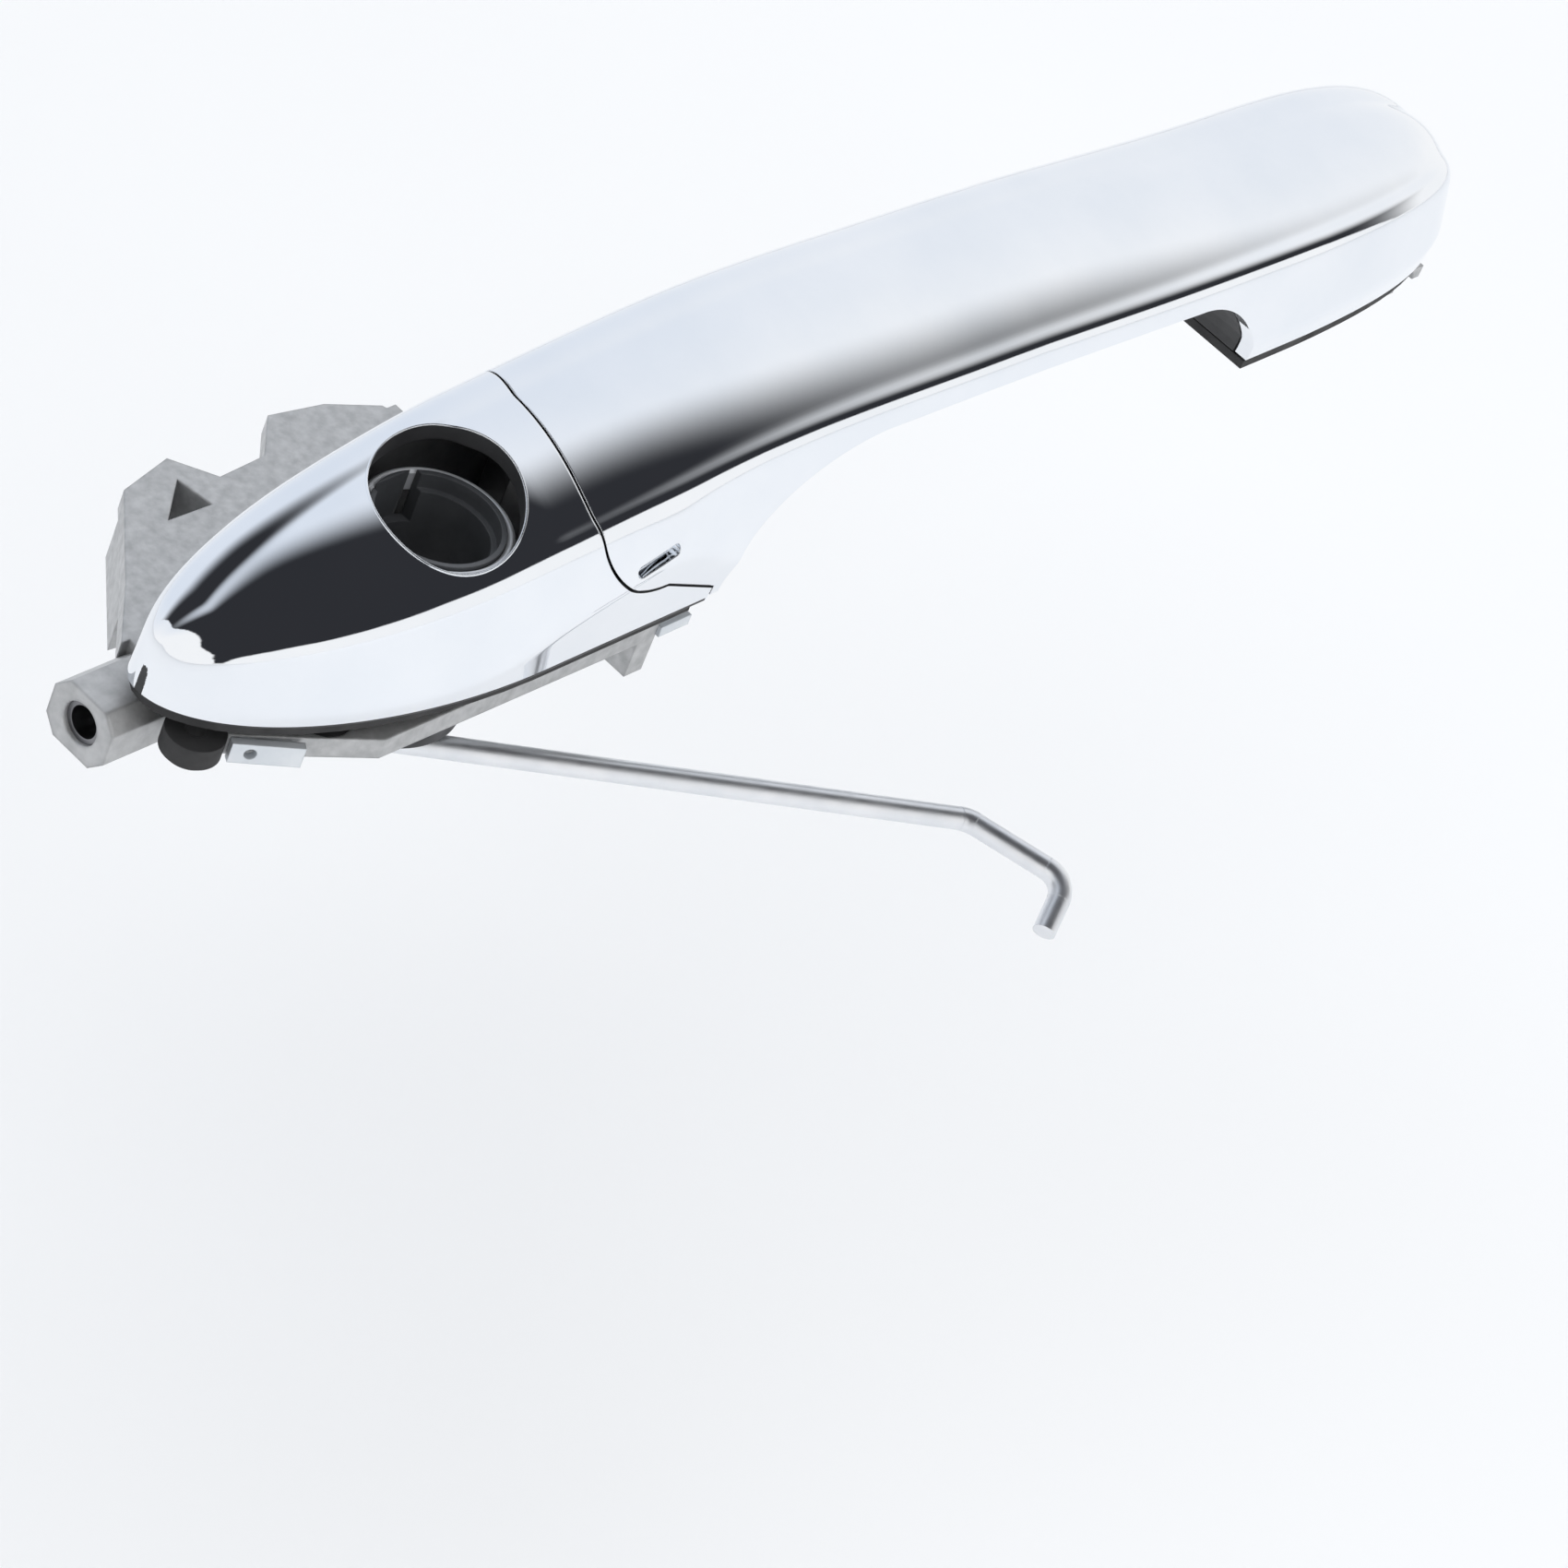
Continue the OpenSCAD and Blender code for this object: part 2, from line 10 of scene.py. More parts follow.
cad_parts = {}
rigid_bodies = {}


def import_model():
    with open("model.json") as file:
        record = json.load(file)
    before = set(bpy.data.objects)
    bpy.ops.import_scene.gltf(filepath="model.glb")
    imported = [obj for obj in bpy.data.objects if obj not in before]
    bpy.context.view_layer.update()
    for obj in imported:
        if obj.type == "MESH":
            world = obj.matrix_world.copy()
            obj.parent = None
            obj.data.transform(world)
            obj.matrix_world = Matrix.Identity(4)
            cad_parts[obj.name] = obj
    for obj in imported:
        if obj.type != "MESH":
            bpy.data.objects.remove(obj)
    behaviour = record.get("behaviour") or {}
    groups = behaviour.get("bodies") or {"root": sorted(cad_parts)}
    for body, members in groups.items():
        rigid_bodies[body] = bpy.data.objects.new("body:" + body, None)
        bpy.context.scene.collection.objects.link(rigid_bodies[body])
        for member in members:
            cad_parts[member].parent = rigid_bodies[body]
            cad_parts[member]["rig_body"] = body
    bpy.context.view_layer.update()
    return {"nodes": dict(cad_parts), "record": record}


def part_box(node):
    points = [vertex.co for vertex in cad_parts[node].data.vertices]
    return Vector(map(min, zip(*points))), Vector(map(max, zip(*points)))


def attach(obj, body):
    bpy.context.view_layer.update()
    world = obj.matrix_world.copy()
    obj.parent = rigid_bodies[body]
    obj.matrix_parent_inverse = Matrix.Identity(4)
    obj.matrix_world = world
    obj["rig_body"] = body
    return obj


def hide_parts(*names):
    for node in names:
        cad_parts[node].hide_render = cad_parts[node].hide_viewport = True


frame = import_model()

MM = 0.001

# ---------------------------------------------------------------- camera
AZIMUTH, ELEVATION, ROLL = -60.0, 36.7, 22.8
DISTANCE = 0.782
FOCAL_WIDTHS = 3.96
AIM = Vector((0.0611, 0.0005, 0.0))
AIM_AT = (0.47, 0.30)


def make_camera():
    a, e, r = (math.radians(v) for v in (AZIMUTH, ELEVATION, ROLL))
    back = Vector((math.sin(a) * math.cos(e), -math.cos(a) * math.cos(e), math.sin(e)))
    right = Vector((math.cos(a), math.sin(a), 0.0))
    up = back.cross(right)
    right, up = right * math.cos(r) + up * math.sin(r), up * math.cos(r) - right * math.sin(r)
    place = AIM + back * DISTANCE
    # turn the camera so that the aim point lands above the middle of the frame, with no lens shift
    axis = (-back * FOCAL_WIDTHS + right * (0.5 - AIM_AT[0]) - up * (0.5 - AIM_AT[1])).normalized()
    back = -axis
    right = (right - back * right.dot(back)).normalized()
    up = back.cross(right)
    data = bpy.data.cameras.new("camera")
    data.sensor_width = 36.0
    data.lens = 36.0 * FOCAL_WIDTHS
    data.clip_start = 0.05
    data.clip_end = 20.0
    cam = bpy.data.objects.new("camera", data)
    bpy.context.collection.objects.link(cam)
    m = Matrix((right, up, back)).transposed().to_4x4()
    m.translation = place
    cam.matrix_world = m
    bpy.context.scene.camera = cam
    return cam


# ---------------------------------------------------------------- envelope of cap and grip, in millimetres
TIP, FAR = 38.5, 200.0
NEAR_W, FAR_W, FLARE = 15.2, 15.0, 1.0
CAP_C, FOOT_C = 10.0, 150.0
CROWN, WALL = 1.5, 2.2
NOSE_SHIFT, RIDGE_OUT = 5.0, 0.5
CREASE = [(-TIP, 12.8), (-6, 15.4), (10, 17.4), (50, 20.0), (90, 18.2), (130, 16.0), (165, 15.0), (FAR, 14.6)]
LEAN = [(-TIP, 5.0), (0, 6.8), (110, 6.6), (160, 3.6), (FAR, 3.6)]
RIDGE = [(-12, 2.2), (0, 3.4), (10, 6.8), (20, 9.2), (30, 11.2), (36, 9), (46, 4.2), (FAR, 4.2)]
ARCH0, ARCH1, ARCH_TOP, ARCH_LOW = 41.0, 147.0, 15.6, 12.2
ARCH_RUN, ARCH_DROP = 27.0, 14.0
SEAM_CX, SEAM_R, TONGUE_H, TONGUE_TIP, SLANT, SEAM_Y = 29.3, 14.0, 6.7, 2.3, 5.0, -11.0
TONGUE_END = ARCH0 - 1.9
GAP, FOOT_GAP = 0.4, 0.7
LEVER_X, LEVER_Z = 2.0, -13.6
LOCK_R = 9.7
POCKET, POCKET_TILT, POCKET_HALF, POCKET_R = (25.4, -15.4, 11.9), 14.0, 2.8, 0.8
CLAW_SLOT = (22.6, 30.8, 7.1, 11.3, 0, 13)
# how far the cutters reach past the part
CUT, CUT_END = 30, 240


def slope(p, i):
    a, b = max(i - 1, 0), min(i + 1, len(p) - 1)
    return (p[b][1] - p[a][1]) / (p[b][0] - p[a][0])


def curve(p, x):
    i = 0
    while i < len(p) - 2 and x > p[i + 1][0]:
        i += 1
    d = p[i + 1][0] - p[i][0]
    t = min(max((x - p[i][0]) / d, 0), 1)
    t2, t3 = t * t, t * t * t
    return ((2 * t3 - 3 * t2 + 1) * p[i][1] + (t3 - 2 * t2 + t) * d * slope(p, i)
            + (3 * t2 - 2 * t3) * p[i + 1][1] + (t3 - t2) * d * slope(p, i + 1))


def round_end(u, n):
    return max(1 - min(abs(u), 1) ** n, 0.0004) ** (1 / n)


def plan(x, t, far=False):
    if x < CAP_C:
        return round_end((CAP_C - x) / (TIP + CAP_C - t), 2.3 if far else 1.9)
    if x > FOOT_C:
        return round_end((x - FOOT_C) / (FAR - FOOT_C - t), 3.3)
    return 1.0


def profile(x, t, floor, count, soft):
    """Outline of the envelope at station x, inset by t, as count points (y, z) with its corners rounded."""
    e, tall = plan(x, t), plan(x, 0) ** 0.35
    s = NOSE_SHIFT * (1 - plan(x, 0)) if x < CAP_C else 0.0
    zc = curve(CREASE, x) * tall - t
    near = NEAR_W + FLARE * min(max((x - 100) / 60, 0), 1)
    wn, wf = max(near * e - t, 0.3), max(FAR_W * plan(x, t, True) - t, 0.3)
    nc, fs = np.array([s - wn * 0.82, zc]), np.array([s + wf * 0.88, zc + curve(LEAN, x) * tall])
    nb, fb = np.array([s - wn, floor]), np.array([s + wf, floor])
    rg = np.array([s - wn - RIDGE_OUT * e, curve(RIDGE, x)])

    def toward(a, b, d):
        return a + (b - a) * min(d / np.linalg.norm(b - a), 0.45)

    def bez(a, c, b, u):
        u = np.asarray(u)[:, None]
        return a * (1 - u) ** 2 + c * 2 * u * (1 - u) + b * u * u

    n1, n2, f1, f2 = toward(nc, rg, 1.8), toward(nc, fs, 2.2), toward(fs, nc, 6), toward(fs, fb, 5)
    top = (n2 + f1) / 2 + np.array([0, 2 * CROWN * e])
    u = np.linspace(0, 1, 60)
    line = np.vstack([nb, rg, bez(n1, nc, n2, u[::3]), bez(n2, top, f1, u[1:]), bez(f1, fs, f2, u[::2]), fb])
    # even spacing along the outline, then a soft blur that keeps both ends
    seg = np.r_[0, np.cumsum(np.linalg.norm(np.diff(line, axis=0), axis=1))]
    fine = 420
    at = np.linspace(0, seg[-1], fine)
    pts = np.c_[np.interp(at, seg, line[:, 0]), np.interp(at, seg, line[:, 1])]
    sigma = soft / (seg[-1] / fine)
    if sigma > 0.3:
        k = int(3 * sigma) + 1
        w = np.exp(-0.5 * (np.arange(-k, k + 1) / sigma) ** 2)
        w /= w.sum()
        pad = np.vstack([2 * pts[0] - pts[k:0:-1], pts, 2 * pts[-1] - pts[-2:-k - 2:-1]])
        pts = np.c_[np.convolve(pad[:, 0], w, "valid"), np.convolve(pad[:, 1], w, "valid")]
    seg = np.r_[0, np.cumsum(np.linalg.norm(np.diff(pts, axis=0), axis=1))]
    at = np.linspace(0, seg[-1], count)
    return np.c_[np.interp(at, seg, pts[:, 0]), np.interp(at, seg, pts[:, 1])]


def stations(x0, x1, n, fine_start):
    """n stations from x0 to x1, crowded at the start or at the end."""
    u = math.pi / 2 * np.linspace(0, 1, n)
    return x0 + (x1 - x0) * (1 - np.cos(u) if fine_start else np.sin(u))


# ---------------------------------------------------------------- mesh helpers
def new_object(name, verts, faces, scale=MM):
    me = bpy.data.meshes.new(name)
    me.from_pydata([[c * scale for c in v] for v in verts], [], faces)
    me.update()
    o = bpy.data.objects.new(name, me)
    bpy.context.collection.objects.link(o)
    return o


def shade(o, angle=32):
    for p in o.data.polygons:
        p.use_smooth = True
    o.data.set_sharp_from_angle(angle=math.radians(angle))


def loft(name, xs, t, floor, count, soft=0.45):
    verts, faces = [], []
    for x in xs:
        verts += [(float(x), p[0], p[1]) for p in profile(x, t, floor, count, soft)]
    n = len(xs)
    for i in range(n - 1):
        for j in range(count):
            k = (j + 1) % count
            faces.append([i * count + j, (i + 1) * count + j, (i + 1) * count + k, i * count + k])
    faces.append(list(range(count)))
    faces.append([(n - 1) * count + j for j in range(count - 1, -1, -1)])
    return new_object(name, verts, faces)


def side_prism(name, pts, width, turn=0.0, about=(0.0, 0.0)):
    """Prism along Y from a profile in X and Z, turned about Z."""
    a = math.radians(turn)
    verts = []
    for y in (-width / 2, width / 2):
        for x, z in pts:
            dx, dy = x - about[0], y - about[1]
            verts.append((about[0] + dx * math.cos(a) - dy * math.sin(a),
                          about[1] + dx * math.sin(a) + dy * math.cos(a), z))
    n = len(pts)
    faces = [list(range(n)), [2 * n - 1 - i for i in range(n)]]
    faces += [[i, n + i, n + (i + 1) % n, (i + 1) % n] for i in range(n)]
    o = new_object(name, verts, faces)
    fix_normals(o)
    return o


def fix_normals(o, merge=False):
    bm = bmesh.new()
    bm.from_mesh(o.data)
    if merge:
        bmesh.ops.remove_doubles(bm, verts=bm.verts, dist=1e-7)
    bmesh.ops.recalc_face_normals(bm, faces=bm.faces)
    bm.to_mesh(o.data)
    bm.free()


def lathe(name, rings, place, sides):
    """Closed solid of revolution about Z from a closed loop of (radius, z)."""
    verts, faces = [], []
    for i in range(sides):
        a = 2 * math.pi * i / sides
        verts += [(r * math.cos(a), r * math.sin(a), z) for r, z in rings]
    m = len(rings)
    for i in range(sides):
        k = (i + 1) % sides
        faces += [[i * m + j, k * m + j, k * m + (j + 1) % m, i * m + (j + 1) % m] for j in range(m)]
    o = new_object(name, verts, faces)
    fix_normals(o, True)
    o.data.transform(place)
    return o


def boolean(o, cutter, operation="DIFFERENCE"):
    mod = o.modifiers.new("cut", "BOOLEAN")
    mod.operation, mod.solver, mod.object = operation, "EXACT", cutter
    graph = bpy.context.evaluated_depsgraph_get()
    me = bpy.data.meshes.new_from_object(o.evaluated_get(graph))
    o.modifiers.clear()
    old, o.data = o.data, me
    bpy.data.meshes.remove(old)
    bpy.data.objects.remove(cutter)


def smooth_like(o, model, tolerance=0.02, angle=28):
    """Gives the loops that lie on the model's surface the model's own smooth normals."""
    me = o.data
    for p in me.polygons:
        p.use_smooth = True
    me.set_sharp_from_angle(angle=math.radians(30))
    source = model.data
    tree = BVHTree.FromPolygons([v.co for v in source.vertices], [p.vertices for p in source.polygons])
    normals = [Vector(v.normal) for v in source.vertices]
    out = [(0.0, 0.0, 0.0)] * len(me.loops)
    cosine = math.cos(math.radians(angle))
    near = {}
    for v in me.vertices:
        hit = tree.find_nearest(v.co)
        if hit[0] is not None and hit[3] < tolerance * MM:
            ids = source.polygons[hit[2]].vertices
            if len(ids) > 8:
                continue
            w = poly_3d_calc([source.vertices[i].co for i in ids], hit[0])
            near[v.index] = sum((normals[i] * k for i, k in zip(ids, w)), Vector()).normalized()
    # faces on the outer surface get slot 0; all others get slot 1, which make_cap fills with dark plastic as
    # painted shade
    for p in me.polygons:
        outside = all(i in near for i in p.vertices) and near[p.vertices[0]].dot(p.normal) > cosine
        p.material_index = 0 if outside else 1
        if outside:
            for li in p.loop_indices:
                out[li] = tuple(near[me.loops[li].vertex_index])
    me.normals_split_custom_set(out)


def seam_prism(g):
    """The grip's side of the seam, set back by g: all above the seam and past the tongue's end."""
    fall = (TONGUE_H - TONGUE_TIP) / (TONGUE_END - SEAM_CX)
    cz, r, past = TONGUE_H + SEAM_R, SEAM_R - g, 12
    pts = [(SEAM_CX - SEAM_R + g, 2 * CUT)]
    pts += [(SEAM_CX - r * math.cos(a), cz - r * math.sin(a)) for a in np.linspace(0, math.pi / 2, 40)]
    low = TONGUE_H + g - past * fall
    pts += [(SEAM_CX + past, low), (CUT_END, low), (CUT_END, 2 * CUT)]
    o = side_prism("seam", pts, 4 * CUT, -SLANT, (SEAM_CX, SEAM_Y))
    x = TONGUE_END + g
    tip = [(x, -CUT), (x, 1.2), (x + 0.25, 2 * CUT), (CUT_END, 2 * CUT), (CUT_END, -CUT)]
    boolean(o, side_prism("tip", tip, 80), "UNION")
    return o


def arch_prism():
    """Cutter for the finger arch: a long quarter ellipse at the key end, a short one at the foot."""
    pts = [(ARCH0, -CUT)]
    pts += [(ARCH0 + ARCH_RUN * (1 - math.cos(a)), 1 + (ARCH_TOP - 1) * math.sin(a))
            for a in np.linspace(0, math.pi / 2, 36)]
    pts += [(ARCH1 - ARCH_DROP * (1 - math.sin(a)), ARCH_LOW * math.cos(a))
            for a in np.linspace(0, math.pi / 2, 30)]
    pts.append((ARCH1, -CUT))
    return side_prism("arch", pts, 2 * CUT)


def pill_prism():
    """Cutter for the small round-ended pocket in the grip's near wall."""
    pts = []
    for a in (2 * math.pi * k / 32 for k in range(32)):
        end = POCKET_HALF if math.cos(a) >= 0 else -POCKET_HALF
        pts.append((POCKET_R * math.cos(a) + end, POCKET_R * math.sin(a)))
    o = side_prism("pill", pts, 4)
    turn = Matrix.Rotation(math.radians(-POCKET_TILT), 4, "Y")
    o.data.transform(Matrix.Translation(Vector(POCKET) * MM) @ turn)
    return o


def box_prism(x0, x1, y0, y1, z0, z1):
    v = [(x, y, z) for x in (x0, x1) for y in (y0, y1) for z in (z0, z1)]
    f = [[0, 1, 3, 2], [4, 6, 7, 5], [0, 4, 5, 1], [2, 3, 7, 6], [0, 2, 6, 4], [1, 5, 7, 3]]
    o = new_object("box", v, f)
    fix_normals(o)
    return o


def cylinder_prism(x, y, z0, z1, r):
    place = Matrix.Translation(Vector((x, y, 0)) * MM)
    return lathe("round", [(0, z0), (r, z0), (r, z1), (0, z1)], place, 128)


# ---------------------------------------------------------------- materials
class Nodes:
    def __init__(self, tree):
        self.tree = tree
        tree.nodes.clear()

    def add(self, kind, **values):
        n = self.tree.nodes.new(kind)
        for k, v in values.items():
            setattr(n, k, v)
        return n

    def put(self, node, key, value):
        socket = node.inputs[key]
        if isinstance(value, bpy.types.NodeSocket):
            self.tree.links.new(value, socket)
        else:
            socket.default_value = value

    def noise(self, co, scale, detail=3.0, rough=0.55):
        n = self.add("ShaderNodeTexNoise")
        self.put(n, "Vector", co)
        self.put(n, "Scale", scale)
        self.put(n, "Detail", detail)
        self.put(n, "Roughness", rough)
        return n.outputs["Fac"]

    def span(self, value, a, b, c, d, smooth=False):
        n = self.add("ShaderNodeMapRange", interpolation_type="SMOOTHSTEP" if smooth else "LINEAR")
        self.put(n, 0, value)
        for i, v in enumerate((a, b, c, d)):
            self.put(n, i + 1, v)
        return n.outputs[0]

    def math(self, op, a, b=0.0):
        n = self.add("ShaderNodeMath", operation=op)
        self.put(n, 0, a)
        self.put(n, 1, b)
        return n.outputs[0]

    def ramp(self, value, low, high):
        n = self.add("ShaderNodeMix", data_type="RGBA")
        self.put(n, 0, value)
        self.put(n, 6, (*low, 1))
        self.put(n, 7, (*high, 1))
        return n.outputs[2]


def finish_material(name, low, high, metallic, rough, grain, bump, mottle=90.0, round_edges=0.0):
    """Mottled colour between low and high, roughness between the two values of rough, and a fine
    bump of (strength, depth in mm) at the scale grain. Edges are shaded round to round_edges mm."""
    mat = bpy.data.materials.new(name)
    mat.use_nodes = True
    n = Nodes(mat.node_tree)
    out, shader = n.add("ShaderNodeOutputMaterial"), n.add("ShaderNodeBsdfPrincipled")
    n.tree.links.new(shader.outputs[0], out.inputs[0])
    co = n.add("ShaderNodeTexCoord").outputs["Object"]
    broad, small = n.noise(co, mottle, 4.0), n.noise(co, grain, 2.0, 0.6)
    colour = n.ramp(n.span(broad, 0.3, 0.7, 0.0, 1.0), low, high)
    n.put(shader, "Base Color", colour)
    n.put(shader, "Roughness", n.span(n.noise(co, mottle * 2.3, 3.0), 0.3, 0.7, *rough))
    n.put(shader, "Metallic", metallic)
    rounded = None
    if round_edges:
        bevel = n.add("ShaderNodeBevel", samples=6)
        n.put(bevel, "Radius", round_edges * MM)
        rounded = bevel.outputs[0]
    if bump:
        b = n.add("ShaderNodeBump")
        n.put(b, "Strength", bump[0])
        n.put(b, "Distance", bump[1] * MM)
        n.put(b, "Height", small)
        if rounded is not None:
            n.put(b, "Normal", rounded)
        rounded = b.outputs[0]
    if rounded is not None:
        n.put(shader, "Normal", rounded)
    return mat


# slot: two colours; metallic, roughness range, bump scale, bump, mottle scale, rounded edge
FINISHES = {
    "chrome_plate": ((0.84, 0.87, 0.91), (0.89, 0.91, 0.94),
        1.0, (0.015, 0.05), 260.0, (0.05, 0.02), 60.0, 0.3),
    "bright_ring": ((0.5, 0.52, 0.55), (0.62, 0.64, 0.67),
        0.5, (0.3, 0.42), 3000.0, (0.1, 0.02), 200.0, 0.2),
    "sleeve_plastic": ((0.045, 0.048, 0.053), (0.07, 0.074, 0.08),
        0.0, (0.28, 0.4), 4000.0, (0.15, 0.02), 150.0, 0.25),
    "housing_plastic": ((0.014, 0.015, 0.017), (0.026, 0.027, 0.03),
        0.0, (0.4, 0.55), 2600.0, (0.25, 0.04), 120.0, 0.4),
    "seal_rubber": ((0.016, 0.016, 0.017), (0.035, 0.035, 0.036),
        0.0, (0.62, 0.8), 2200.0, (0.35, 0.05), 150.0, 0.25),
    "pad_rubber": ((0.014, 0.014, 0.015), (0.03, 0.03, 0.03),
        0.0, (0.6, 0.75), 2000.0, (0.35, 0.05), 160.0, 0.3),
    "die_cast": ((0.38, 0.385, 0.39), (0.52, 0.525, 0.53),
        0.55, (0.36, 0.48), 1300.0, (0.5, 0.08), 600.0, 0.5),
    "boss_cast": ((0.40, 0.405, 0.41), (0.52, 0.525, 0.53),
        0.55, (0.34, 0.46), 1100.0, (0.5, 0.08), 500.0, 0.8),
    "insert_steel": ((0.16, 0.16, 0.17), (0.26, 0.26, 0.27),
        1.0, (0.3, 0.45), 1800.0, (0.3, 0.04), 200.0, 0.2),
    "pale_plate": ((0.62, 0.66, 0.7), (0.74, 0.77, 0.8),
        0.4, (0.3, 0.42), 1800.0, (0.2, 0.03), 160.0, 0.25),
    "zinc_steel": ((0.78, 0.8, 0.83), (0.86, 0.87, 0.89),
        1.0, (0.34, 0.44), 1600.0, (0.15, 0.03), 180.0, 0.2),
    "spring_steel": ((0.42, 0.43, 0.45), (0.58, 0.59, 0.6),
        1.0, (0.22, 0.34), 2500.0, (0.15, 0.02), 300.0),
    "liner_plastic": ((0.02, 0.02, 0.022), (0.035, 0.036, 0.038),
        0.0, (0.42, 0.58), 2600.0, (0.4, 0.05), 120.0, 0.3),
    "carrier_plastic": ((0.025, 0.026, 0.028), (0.045, 0.046, 0.05),
        0.0, (0.38, 0.52), 2400.0, (0.3, 0.05), 140.0, 0.3),
    "lever_plastic": ((0.03, 0.031, 0.034), (0.055, 0.056, 0.06),
        0.0, (0.36, 0.5), 2400.0, (0.3, 0.05), 140.0, 0.35),
    "clip_plastic": ((0.66, 0.64, 0.57), (0.76, 0.74, 0.68),
        0.0, (0.35, 0.5), 2000.0, (0.2, 0.03), 140.0, 0.2),
}
MATS = {name: finish_material(name, *values) for name, values in FINISHES.items()}


def paint(o, name):
    o.data.materials.clear()
    o.data.materials.append(MATS[name])


def piece(o, body, node, material, angle=32, smooth=True):
    if smooth:
        shade(o, angle)
    paint(o, material)
    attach(o, body)
    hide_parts(node)
    return o


# ---------------------------------------------------------------- chrome shells
def tube(name, path, radius, sides=12, closed=True):
    """Round tube along a path of points in millimetres."""
    n, verts, faces = len(path), [], []
    path = [Vector(p) for p in path]
    up = Vector((0, 0, 1))
    for i, p in enumerate(path):
        a = path[(i - 1) % n if closed else max(i - 1, 0)]
        b = path[(i + 1) % n if closed else min(i + 1, n - 1)]
        along = (b - a).normalized()
        side = along.cross(up if abs(along.z) < 0.9 else Vector((1, 0, 0))).normalized()
        lift = side.cross(along)
        for k in range(sides):
            t = 2 * math.pi * k / sides
            verts.append(p + side * (radius * math.cos(t)) + lift * (radius * math.sin(t)))
    for i in range(n if closed else n - 1):
        j = (i + 1) % n
        faces += [[i * sides + k, j * sides + k, j * sides + (k + 1) % sides, i * sides + (k + 1) % sides]
                  for k in range(sides)]
    if not closed:
        faces += [list(range(sides)), [(n - 1) * sides + k for k in range(sides - 1, -1, -1)]]
    o = new_object(name, verts, faces)
    fix_normals(o)
    return o


def edge_on(model, r, count=160):
    """Closed line that the cylinder of radius r about Z cuts on a surface, in millimetres."""
    mesh = model.data
    tree = BVHTree.FromPolygons([v.co for v in mesh.vertices], [p.vertices for p in mesh.polygons])
    out = []
    for i in range(count):
        a = 2 * math.pi * i / count
        hit = tree.ray_cast(Vector((r * math.cos(a), r * math.sin(a), 60)) * MM, Vector((0, 0, -1)))
        out.append(hit[0] / MM)
    return out


def make_spring():
    """Return spring: three coils of round wire on the lever's axis."""
    low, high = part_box("return_spring")
    centre = Vector((LEVER_X, 0, LEVER_Z))
    radius = (high.x - low.x) / MM / 2 - 0.5
    y0, y1 = low.y / MM + 0.5, high.y / MM - 0.5
    turns, steps, path = 3, 40, []
    for i in range(turns * steps + 1):
        a = 2 * math.pi * i / steps
        y = y0 + (y1 - y0) * i / (turns * steps)
        path.append(centre + Vector((radius * math.cos(a), y, radius * math.sin(a))))
    o = tube("spring_coils", path, 0.4, 10, False)
    return piece(o, frame_body("return_spring"), "return_spring", "spring_steel")


def frame_body(node):
    return frame["nodes"][node]["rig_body"]


def make_cap():
    xs = stations(-TIP + 0.02, 42, 120, True)
    o = loft("cap_shell", xs, 0, 0, 150)
    model = loft("model", xs, 0, 0, 150)
    boolean(o, loft("inner", stations(-TIP + WALL + 0.1, 44, 40, True), WALL, -1, 60))
    boolean(o, seam_prism(0))
    boolean(o, cylinder_prism(0, 0, 4, 40, LOCK_R))
    smooth_like(o, model)
    bead = tube("lock_hole_bead", edge_on(model, LOCK_R + 0.08), 0.18)
    piece(bead, "mount_body", "key_end_cap", "chrome_plate")
    bpy.data.objects.remove(model)
    # faces off the outer surface (hollow, lock hole wall, seam face) get the dark liner_plastic finish:
    # painted shade inside the cap and its lock hole
    painted_shade_slots = [p.material_index for p in o.data.polygons]
    piece(o, "mount_body", "key_end_cap", "chrome_plate", smooth=False)
    o.data.materials.append(MATS["liner_plastic"])
    o.data.polygons.foreach_set("material_index", painted_shade_slots)
    return o


def make_grip():
    xs = stations(10, FAR - 0.1, 220, False)
    o = loft("grip_body_shell", xs, 0, FOOT_GAP, 150)
    model = loft("model", xs, 0, FOOT_GAP, 150)
    boolean(o, seam_prism(GAP), "INTERSECT")
    hollow = loft("inner", stations(8, FAR - WALL - 0.1, 80, False), WALL, -1, 60)
    boolean(hollow, seam_prism(GAP + WALL), "INTERSECT")
    boolean(o, hollow)
    boolean(o, arch_prism())
    boolean(o, box_prism(*CLAW_SLOT))
    boolean(o, pill_prism())
    smooth_like(o, model)
    bpy.data.objects.remove(model)
    o.data.polygons.foreach_set("material_index", [0] * len(o.data.polygons))
    return piece(o, "grip_body", "grip_shell", "chrome_plate", smooth=False)


make_camera()
make_cap()
make_grip()
make_spring()

# ---------------------------------------------------------------- the other CAD pieces keep their shape
record_slots = {s["node"]: s["material_slot"] for s in frame["record"]["subparts"]}
rounding = {"fixing_boss": 0.8, "die_cast_base": 0.4, "lever": 0.3, "grip_claw": 0.3, "side_plate": 0.15,
            "claw_bumper": 0.4, "locating_tab": 0.3, "pivot_lug": 0.3, "pivot_seat": 0.3, "rod_clip": 0.2}
for node, o in frame["nodes"].items():
    if record_slots.get(node) in MATS:
        paint(o, record_slots[node])
    if node in rounding:
        mod = o.modifiers.new("round", "BEVEL")
        mod.width, mod.segments, mod.limit_method = rounding[node] * MM, 3, "ANGLE"
        mod.angle_limit = math.radians(40)


# ---------------------------------------------------------------- studio
# The studio seen in the plating, by direction: a dark card overhead, white on the far side (far), low
# on the near side (near), past the nose (left), past the foot (right) and under the horizon (below).
NEAR_EDGE = -0.53


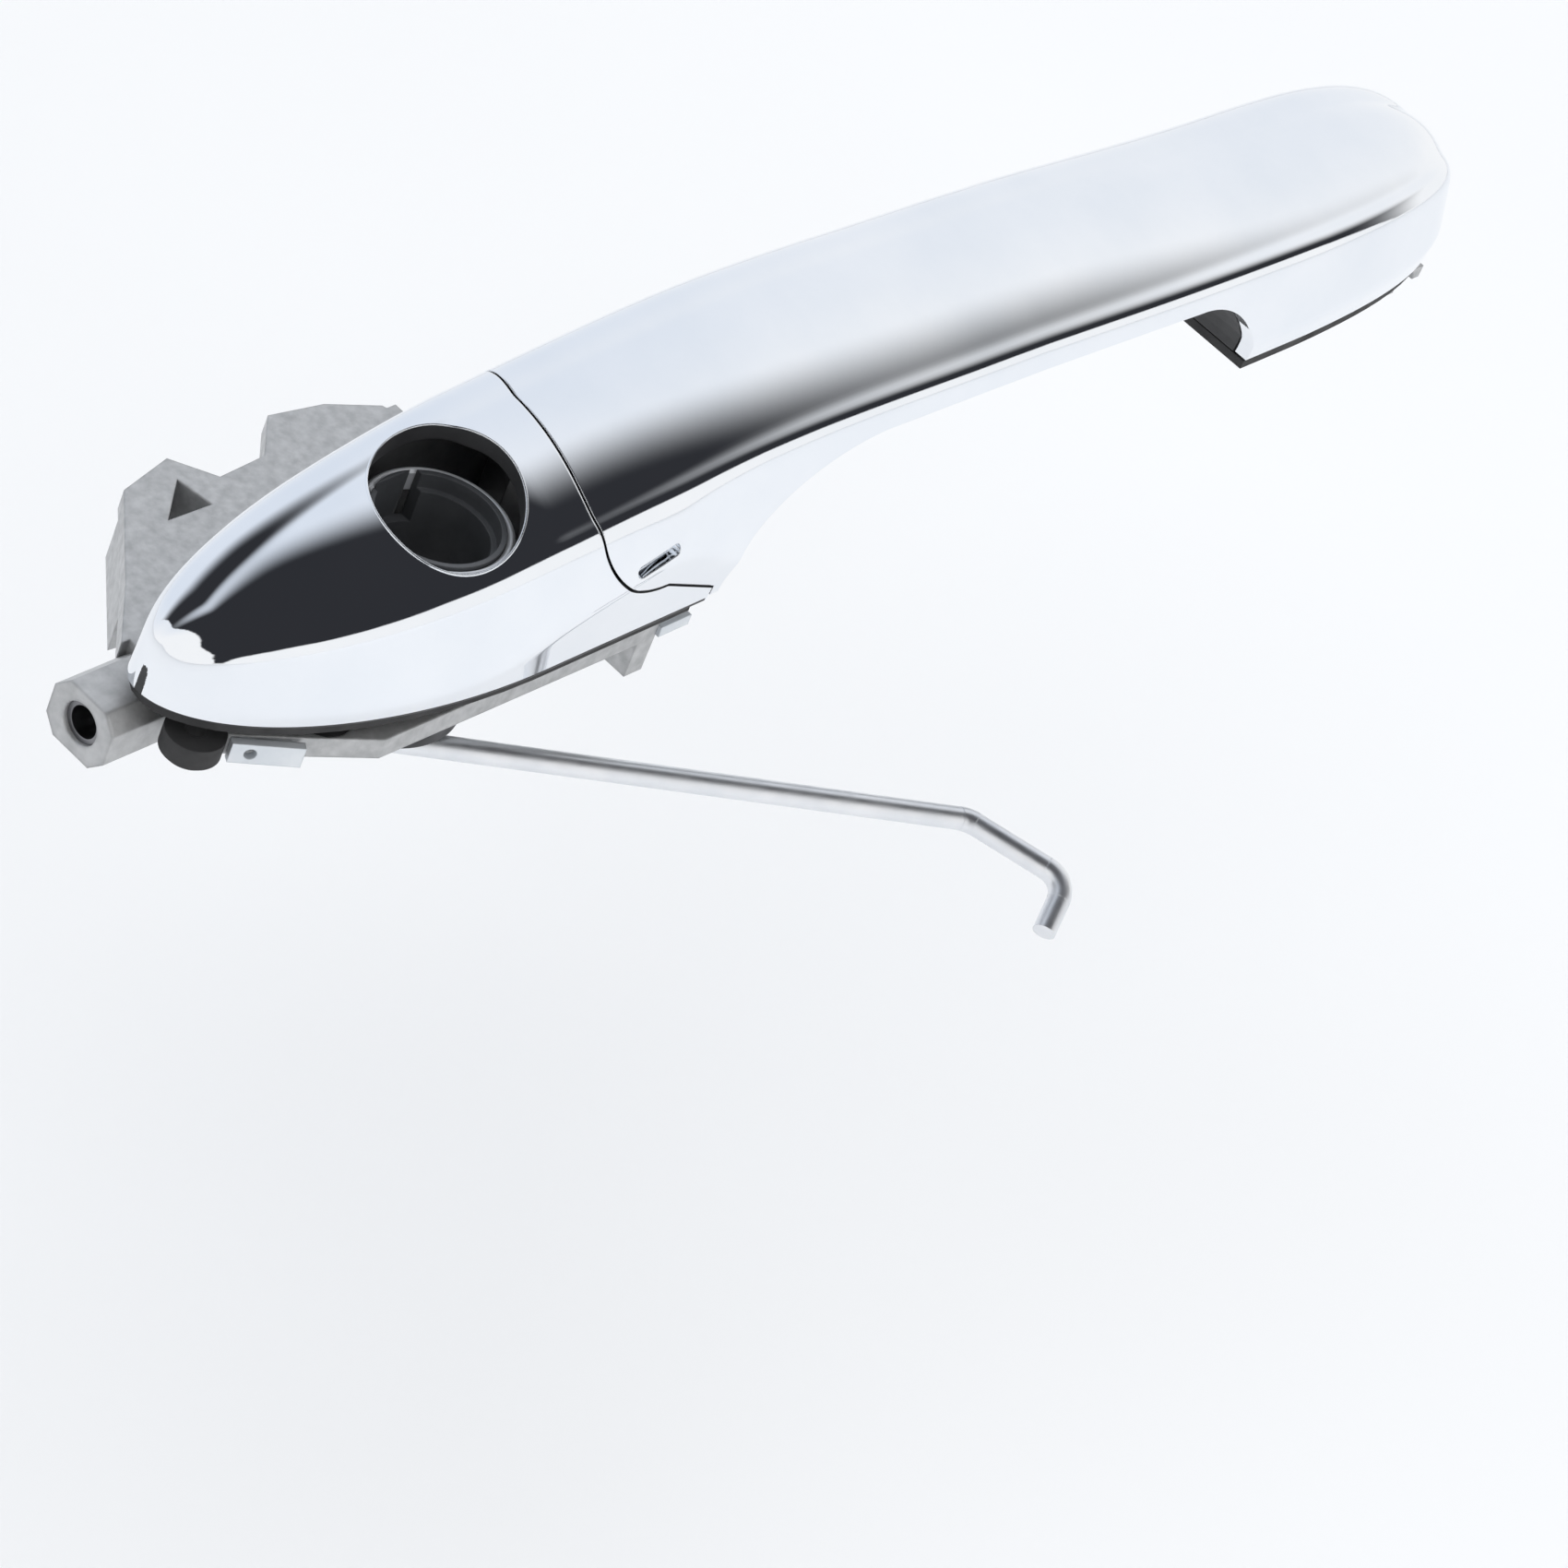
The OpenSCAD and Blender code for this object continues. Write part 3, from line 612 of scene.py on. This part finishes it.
def make_world():
    world = bpy.data.worlds.new("studio")
    bpy.context.scene.world = world
    world.use_nodes = True
    n = Nodes(world.node_tree)
    out, back = n.add("ShaderNodeOutputWorld"), n.add("ShaderNodeBackground")
    n.tree.links.new(back.outputs[0], out.inputs[0])
    split = n.add("ShaderNodeSeparateXYZ")
    n.put(split, 0, n.add("ShaderNodeTexCoord").outputs["Generated"])
    x, y, z = split.outputs
    wave = n.span(n.noise(n.add("ShaderNodeTexCoord").outputs["Generated"], 5.0, 2.0), 0.3, 0.7, -0.02, 0.02)
    low = n.span(x, 0.10, 0.70, 0.22, -0.38, True)
    high = n.span(x, 0.10, 0.70, 0.62, -0.02, True)
    far = n.span(y, low, high, 0.0, 1.0, True)
    nose = n.span(x, 0.0, 0.55, 0.25, 0.0, True)
    nearness = n.math("ADD", n.math("ADD", y, nose), wave)
    near = n.span(nearness, NEAR_EDGE - 0.03, NEAR_EDGE, 1.0, 0.0, True)
    left = n.span(n.math("ADD", x, wave), -0.73, -0.70, 1.0, 0.0, True)
    right = n.span(x, 0.80, 0.92, 0.0, 1.0, True)
    below = n.span(z, -0.02, 0.04, 1.0, 0.0, True)
    light = n.math("MAXIMUM", n.math("MAXIMUM", far, left), n.math("MAXIMUM", right, below))
    light = n.math("MAXIMUM", light, near)
    tint = n.ramp(n.span(n.math("ADD", y, z), 0.3, 1.3, 0.0, 1.0), (1.0, 1.0, 1.0), (0.80, 0.85, 0.93))
    colour = n.add("ShaderNodeMix", data_type="RGBA")
    n.put(colour, 0, light)
    n.put(colour, 6, (0.03, 0.031, 0.036, 1))
    n.put(colour, 7, tint)
    colour = colour.outputs[2]
    n.put(back, "Color", colour)
    n.put(back, "Strength", 1.0)


def make_light(name, place, aim, size, power, glossy=False):
    data = bpy.data.lights.new(name, "AREA")
    data.shape = "RECTANGLE"
    data.size, data.size_y = size
    data.energy = power
    o = bpy.data.objects.new(name, data)
    bpy.context.collection.objects.link(o)
    o.location = place
    o.rotation_euler = (Vector(aim) - Vector(place)).to_track_quat("-Z", "Y").to_euler()
    o.visible_glossy = glossy
    return o


FLOOR_HALF = 1.6


def make_floor():
    h = FLOOR_HALF
    o = new_object("floor", [(-h, -h, 0), (h, -h, 0), (h, h, 0), (-h, h, 0)], [[0, 1, 2, 3]], 1.0)
    o.data.transform(Matrix.Translation((0.08, 0, -0.11)))
    pale, paler = (0.86, 0.865, 0.87), (0.88, 0.885, 0.89)
    mat = finish_material("floor_paint", pale, paler, 0.0, (0.7, 0.8), 40.0, None, 3.0)
    o.data.materials.append(mat)


make_world()
make_light("top", (0.2, 0.1, 1.6), (0.08, 0, 0), (2.8, 2.8), 28)
make_light("near", (0.1, -1.3, 0.9), (0.08, 0, 0), (1.8, 1.4), 7)
make_floor()
bpy.context.scene.view_settings.view_transform = "Standard"
